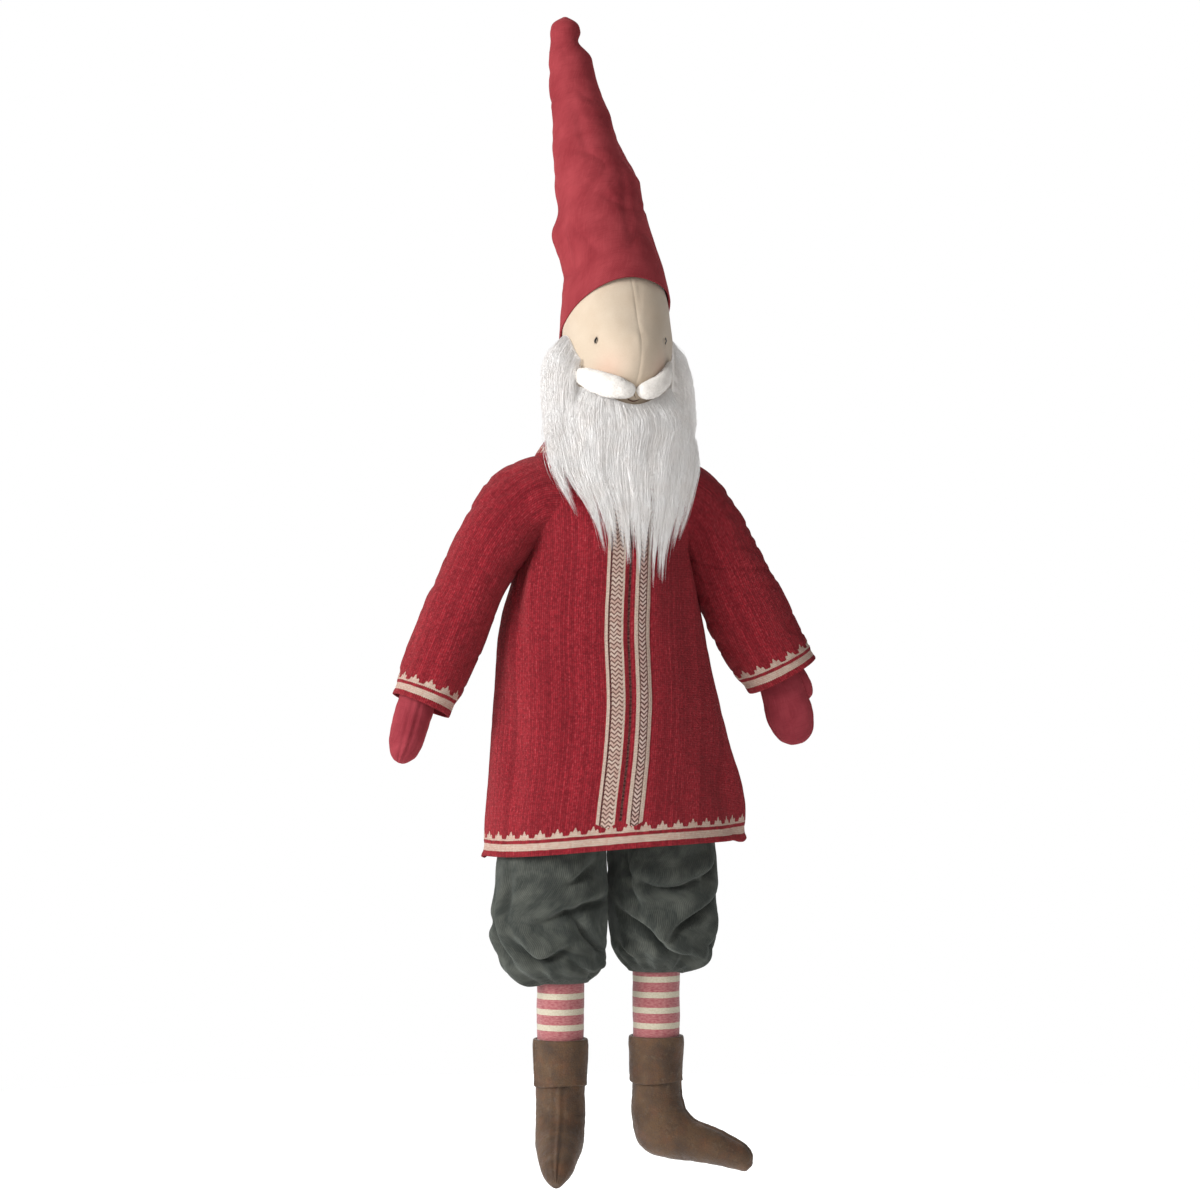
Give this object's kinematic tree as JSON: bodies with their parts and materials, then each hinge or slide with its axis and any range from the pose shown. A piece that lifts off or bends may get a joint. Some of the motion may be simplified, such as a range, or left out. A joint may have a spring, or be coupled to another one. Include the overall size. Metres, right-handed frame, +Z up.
{
  "type": "cloth gnome doll",
  "caption": "Soft hanging gnome doll with a tall pointed hat, wool beard, knitted coat, gathered trousers, striped stockings and leather boots; head, arms, hips and feet move.",
  "frame": {"origin": "on the back of the coat, between the shoulder blades, where a hand or a display stand's clip holds the doll", "axes": "+Z up along the doll towards the hat's tip, +Y out of the doll's back (it faces -Y), +X towards the doll's own left"},
  "size_m": [0.3395, 0.1477, 0.8996],
  "materials": {
    "filling": "loose fibre",
    "muslin": "plain weave, matt",
    "red_knit": "fine marled knit, matt",
    "needlecord": "short pile with a soft sheen",
    "elastic": "woven",
    "black_thread": "satin stitch",
    "brown_thread": "stitched",
    "wool": "combed wool",
    "red_linen": "plain weave, matt",
    "striped_cotton": "woven stripes, matt",
    "brown_leather": "worn, waxed"
  },
  "bodies": {
    "torso": {"body_fill": "filling", "body_cover": "muslin", "coat_body": "red_knit", "trouser_waist": "needlecord", "waist_elastic": "elastic"},
    "neck": {"neck": "muslin"},
    "head": {"head_fill": "filling", "head_cover_left": "muslin", "head_cover_right": "muslin", "eye_left": "black_thread", "eye_right": "black_thread", "mouth_stitch": "brown_thread", "moustache_left": "wool", "moustache_right": "wool", "beard": "wool", "whiskers_left": "wool", "whiskers_right": "wool", "hair_back": "wool", "hat_cone": "red_linen", "hat_fill": "filling"},
    "lap": {"seat_fill": "filling", "trouser_seat": "needlecord", "coat_skirt": "red_knit"},
    "shoulder_left": {"shoulder_joint_left": "muslin"},
    "arm_left": {"sleeve_left": "red_knit", "arm_cover_left": "muslin", "arm_fill_left": "filling", "mitten_left": "red_linen"},
    "leg_left": {"trouser_leg_left": "needlecord", "knee_elastic_left": "elastic", "thigh_cover_left": "striped_cotton", "thigh_fill_left": "filling"},
    "shin_left": {"stocking_left": "striped_cotton", "shin_fill_left": "filling", "boot_left": "brown_leather", "boot_cuff_left": "brown_leather", "foot_fill_left": "filling"},
    "shoulder_right": {"shoulder_joint_right": "muslin"},
    "arm_right": {"sleeve_right": "red_knit", "arm_cover_right": "muslin", "arm_fill_right": "filling", "mitten_right": "red_linen"},
    "leg_right": {"trouser_leg_right": "needlecord", "knee_elastic_right": "elastic", "thigh_cover_right": "striped_cotton", "thigh_fill_right": "filling"},
    "shin_right": {"stocking_right": "striped_cotton", "shin_fill_right": "filling", "boot_right": "brown_leather", "boot_cuff_right": "brown_leather", "foot_fill_right": "filling"}
  },
  "joints": [
    {"name": "head_turn", "type": "hinge", "parent": "torso", "child": "neck", "pos_m": [0, -0.0485, 0.035], "axis": [0, 0, 1], "range_deg": [-18, 18], "stiffness_Nm_per_rad": 0.05, "deforming": ["beard"]},
    {"name": "head_nod", "type": "hinge", "parent": "neck", "child": "head", "pos_m": [0, -0.0485, 0.035], "axis": [1, 0, 0], "range_deg": [-12, 15], "stiffness_Nm_per_rad": 0.5},
    {"name": "arm_swing_left", "type": "hinge", "parent": "torso", "child": "shoulder_left", "pos_m": [0.074, -0.0485, -0.016], "axis": [-1, 0, 0], "range_deg": [-45, 110]},
    {"name": "arm_raise_left", "type": "hinge", "parent": "shoulder_left", "child": "arm_left", "pos_m": [0.074, -0.0485, -0.016], "axis": [0, -1, 0], "range_deg": [0, 60], "deforming": ["sleeve_left"]},
    {"name": "arm_swing_right", "type": "hinge", "parent": "torso", "child": "shoulder_right", "pos_m": [-0.074, -0.0485, -0.016], "axis": [-1, 0, 0], "range_deg": [-45, 110]},
    {"name": "arm_raise_right", "type": "hinge", "parent": "shoulder_right", "child": "arm_right", "pos_m": [-0.074, -0.0485, -0.016], "axis": [0, 1, 0], "range_deg": [0, 60], "deforming": ["sleeve_right"]},
    {"name": "sit", "type": "hinge", "parent": "torso", "child": "lap", "pos_m": [0, -0.0525, -0.195], "axis": [-1, 0, 0], "range_deg": [0, 90], "deforming": ["coat_skirt"]},
    {"name": "leg_swing_left", "type": "hinge", "parent": "lap", "child": "leg_left", "pos_m": [0.039, -0.0525, -0.195], "axis": [-1, 0, 0], "range_deg": [-20, 0]},
    {"name": "foot_turn_left", "type": "hinge", "parent": "leg_left", "child": "shin_left", "pos_m": [0.039, -0.0525, -0.335], "axis": [0, 0, 1], "range_deg": [-90, 15]},
    {"name": "leg_swing_right", "type": "hinge", "parent": "lap", "child": "leg_right", "pos_m": [-0.039, -0.0525, -0.195], "axis": [-1, 0, 0], "range_deg": [-20, 0]},
    {"name": "foot_turn_right", "type": "hinge", "parent": "leg_right", "child": "shin_right", "pos_m": [-0.039, -0.0525, -0.335], "axis": [0, 0, -1], "range_deg": [-38, 60]}
  ]
}
